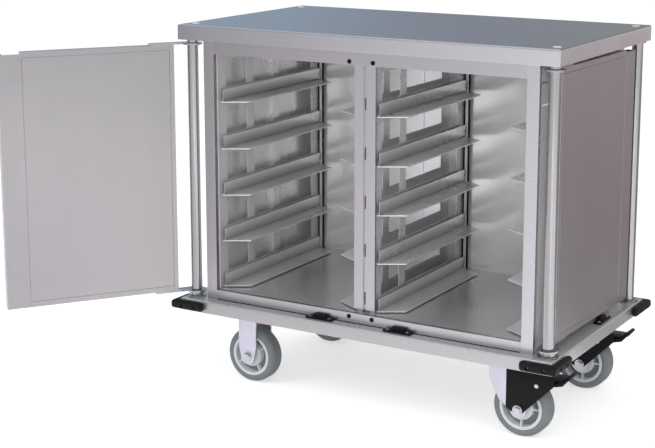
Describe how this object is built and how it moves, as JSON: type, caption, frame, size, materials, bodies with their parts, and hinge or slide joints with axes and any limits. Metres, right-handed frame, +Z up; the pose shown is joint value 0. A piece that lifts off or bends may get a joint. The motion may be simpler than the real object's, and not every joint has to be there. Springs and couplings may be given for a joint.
{
  "type": "enclosed meal tray cart",
  "caption": "Enclosed steel cabinet cart on casters, with hinged full-height doors, tray ledges in two bays, corner bumpers and braked swivel wheels.",
  "frame": {"origin": "on the floor under the middle of the cabinet's footprint", "axes": "+Z up; -Y is the door side; +X runs to the right as seen from the door side, towards the swivel casters"},
  "size_m": [1.4259, 1.0374, 0.9941],
  "materials": {
    "top_steel": "brushed stainless steel sheet",
    "frame_steel": "brushed stainless steel sheet",
    "wall_steel": "brushed stainless steel sheet",
    "door_steel": "brushed stainless steel sheet",
    "rack_steel": "brushed stainless steel sheet",
    "hinge_steel": "brushed stainless steel sheet",
    "rail_steel": "brushed stainless steel sheet",
    "zinc_plate": "bright zinc plated steel",
    "fastener_steel": "brushed stainless steel sheet",
    "bumper_rubber": "matt black rubber",
    "black_plastic": "moulded plastic, matt",
    "white_plastic": "moulded plastic, matt",
    "wheel_rim": "moulded plastic, matt",
    "tyre": "grey non-marking rubber"
  },
  "bodies": {
    "cart": {"lid_pan": "top_steel", "lid_underplate": "top_steel", "lid_plugs": "white_plastic", "deck_pan": "top_steel", "underframe": "rail_steel", "front_header": "frame_steel", "front_sill": "frame_steel", "front_stiles": "frame_steel", "mullion_posts": "rack_steel", "rear_frame": "frame_steel", "side_wall_left": "wall_steel", "side_wall_right": "wall_steel", "rear_wall_centre": "wall_steel", "rear_wall_sides": "wall_steel", "floor_pan": "wall_steel", "ceiling_pan": "wall_steel", "rack_panel_left_outer": "rack_steel", "rack_panel_left_inner": "rack_steel", "rack_panel_right_inner": "rack_steel", "rack_panel_right_outer": "rack_steel", "ledges_left_outer": "rack_steel", "ledges_left_inner": "rack_steel", "ledges_right_inner": "rack_steel", "ledges_right_outer": "rack_steel", "front_bumpers": "bumper_rubber", "rear_bumpers": "bumper_rubber", "deck_screws": "fastener_steel", "door_catches": "bumper_rubber", "door_magnets": "black_plastic", "rear_posts": "hinge_steel", "hinge_sockets": "hinge_steel", "rigid_fork_front": "zinc_plate", "rigid_fork_rear": "zinc_plate", "rigid_axles": "fastener_steel", "swivel_plates": "zinc_plate", "caster_bolts": "fastener_steel"},
    "door_left": {"door_left_shell": "door_steel", "door_left_liner": "door_steel", "door_left_tube": "hinge_steel", "door_left_hinge_plates": "hinge_steel"},
    "door_right": {"door_right_shell": "door_steel", "door_right_liner": "door_steel", "door_right_tube": "hinge_steel", "door_right_hinge_plates": "hinge_steel"},
    "caster_front": {"swivel_yoke_front": "zinc_plate", "swivel_axle_front": "fastener_steel", "brake_guard_front": "black_plastic"},
    "brake_front": {"brake_pedal_front": "black_plastic"},
    "wheel_rigid_front": {"tyre_rigid_front": "tyre", "rim_rigid_front": "wheel_rim"},
    "wheel_swivel_front": {"tyre_swivel_front": "tyre", "rim_swivel_front": "wheel_rim"},
    "caster_rear": {"swivel_yoke_rear": "zinc_plate", "swivel_axle_rear": "fastener_steel", "brake_guard_rear": "black_plastic"},
    "brake_rear": {"brake_pedal_rear": "black_plastic"},
    "wheel_rigid_rear": {"tyre_rigid_rear": "tyre", "rim_rigid_rear": "wheel_rim"},
    "wheel_swivel_rear": {"tyre_swivel_rear": "tyre", "rim_swivel_rear": "wheel_rim"}
  },
  "joints": [
    {"name": "door_left_hinge", "type": "hinge", "parent": "cart", "child": "door_left", "pos_m": [-0.5215, -0.2796, 0.598], "axis": [0, 0, -1], "range_deg": [-125.8, 144.2]},
    {"name": "door_right_hinge", "type": "hinge", "parent": "cart", "child": "door_right", "pos_m": [0.5215, -0.2796, 0.598], "axis": [0, 0, 1], "range_deg": [-268.6, 1.4]},
    {"name": "caster_front_swivel", "type": "hinge", "parent": "cart", "child": "caster_front", "pos_m": [0.39, -0.2058, 0.19], "axis": [0, 0, 1], "continuous": true},
    {"name": "wheel_swivel_front_spin", "type": "hinge", "parent": "caster_front", "child": "wheel_swivel_front", "pos_m": [0.432, -0.2058, 0.076], "axis": [0, 1, 0], "continuous": true},
    {"name": "brake_front_pedal", "type": "hinge", "parent": "caster_front", "child": "brake_front", "pos_m": [0.4817, -0.2058, 0.1485], "axis": [0, 1, 0], "range_deg": [0, 12]},
    {"name": "wheel_rigid_front_spin", "type": "hinge", "parent": "cart", "child": "wheel_rigid_front", "pos_m": [-0.379, -0.2058, 0.076], "axis": [0, 1, 0], "continuous": true},
    {"name": "caster_rear_swivel", "type": "hinge", "parent": "cart", "child": "caster_rear", "pos_m": [0.39, 0.2058, 0.19], "axis": [0, 0, 1], "continuous": true},
    {"name": "wheel_swivel_rear_spin", "type": "hinge", "parent": "caster_rear", "child": "wheel_swivel_rear", "pos_m": [0.432, 0.2058, 0.076], "axis": [0, 1, 0], "continuous": true},
    {"name": "brake_rear_pedal", "type": "hinge", "parent": "caster_rear", "child": "brake_rear", "pos_m": [0.4817, 0.2058, 0.1485], "axis": [0, 1, 0], "range_deg": [0, 12]},
    {"name": "wheel_rigid_rear_spin", "type": "hinge", "parent": "cart", "child": "wheel_rigid_rear", "pos_m": [-0.379, 0.2058, 0.076], "axis": [0, 1, 0], "continuous": true}
  ]
}
